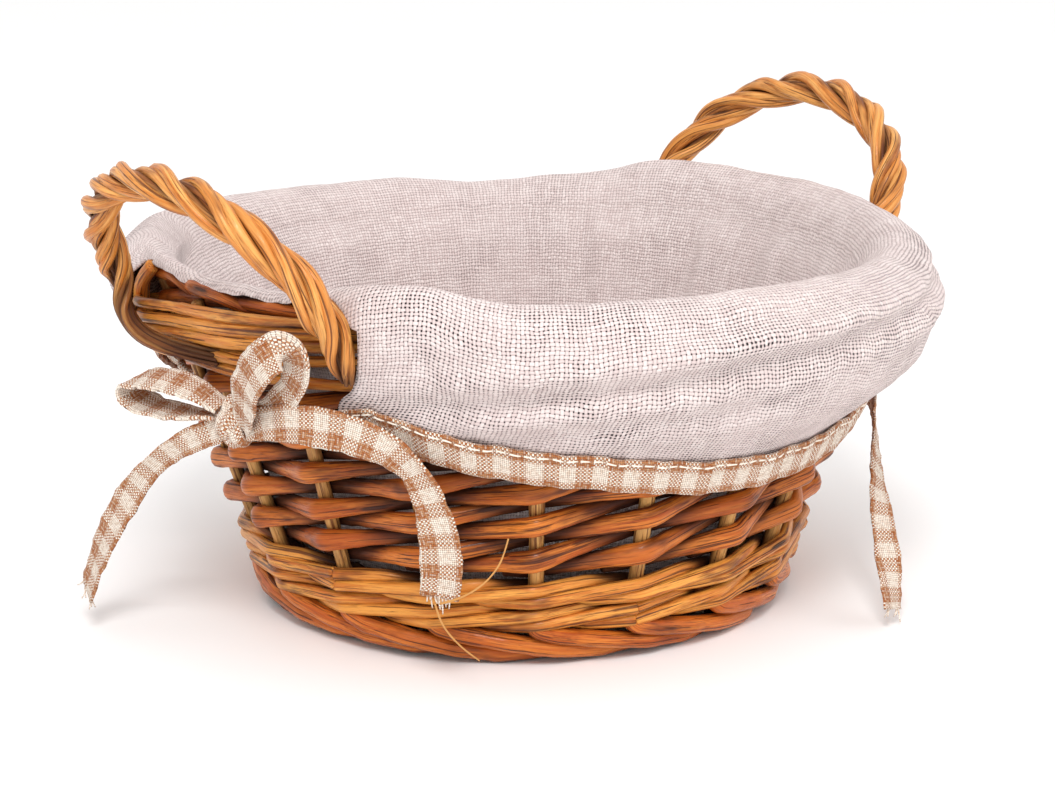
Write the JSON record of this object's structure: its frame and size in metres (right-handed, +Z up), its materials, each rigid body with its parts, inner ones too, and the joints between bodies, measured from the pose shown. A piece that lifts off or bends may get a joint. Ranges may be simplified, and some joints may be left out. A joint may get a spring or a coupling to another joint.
{
  "type": "lined bread basket",
  "caption": "Round woven willow bread basket with two twisted rope handles and a cotton liner turned over the rim and tied under the handles with checked bows.",
  "frame": {"origin": "middle of the foot, on the surface that the basket stands on", "axes": "+Z up; +X towards the right-hand handle, the other handle is at -X"},
  "size_m": [0.2656, 0.244, 0.1405],
  "materials": {
    "willow_amber": "steamed willow rods, varnished, orange brown with darker red stains",
    "willow_golden": "thin willow rods, varnished, golden brown",
    "willow_handle": "twisted thin willow rods, varnished, golden orange",
    "willow_pale": "peeled willow sticks, pale tan",
    "cotton": "open plain weave cotton, off-white with a faint pink cast",
    "checked_cotton": "small brown and cream gingham tape"
  },
  "bodies": {
    "root": {"base_sticks": "willow_pale", "base_weave": "willow_pale", "stakes": "willow_pale", "foot_border": "willow_amber", "lower_wale_1": "willow_golden", "lower_wale_2": "willow_golden", "side_rod_01": "willow_amber", "side_rod_02": "willow_amber", "side_rod_03": "willow_amber", "side_rod_04": "willow_amber", "side_rod_05": "willow_amber", "side_rod_06": "willow_amber", "side_rod_07": "willow_amber", "side_rod_08": "willow_amber", "side_rod_09": "willow_amber", "side_rod_10": "willow_amber", "side_rod_11": "willow_amber", "side_rod_12": "willow_amber", "side_rod_13": "willow_amber", "side_rod_14": "willow_amber", "side_rod_15": "willow_amber", "side_rod_16": "willow_amber", "side_rod_17": "willow_amber", "side_rod_18": "willow_amber", "upper_wale_1": "willow_golden", "upper_wale_2": "willow_golden", "rim_border": "willow_amber", "left_handle_strand_1": "willow_handle", "left_handle_strand_2": "willow_handle", "left_handle_strand_3": "willow_handle", "right_handle_strand_1": "willow_handle", "right_handle_strand_2": "willow_handle", "right_handle_strand_3": "willow_handle", "liner_bottom": "cotton", "liner_wall": "cotton", "liner_front_flap": "cotton", "liner_rear_flap": "cotton", "front_tape": "checked_cotton", "rear_tape": "checked_cotton", "left_bow_knot": "checked_cotton", "left_bow_front_loop": "checked_cotton", "left_bow_rear_loop": "checked_cotton", "left_bow_front_tail": "checked_cotton", "left_bow_rear_tail": "checked_cotton", "right_bow_knot": "checked_cotton", "right_bow_front_loop": "checked_cotton", "right_bow_rear_loop": "checked_cotton", "right_bow_front_tail": "checked_cotton", "right_bow_rear_tail": "checked_cotton"}
  },
  "joints": []
}
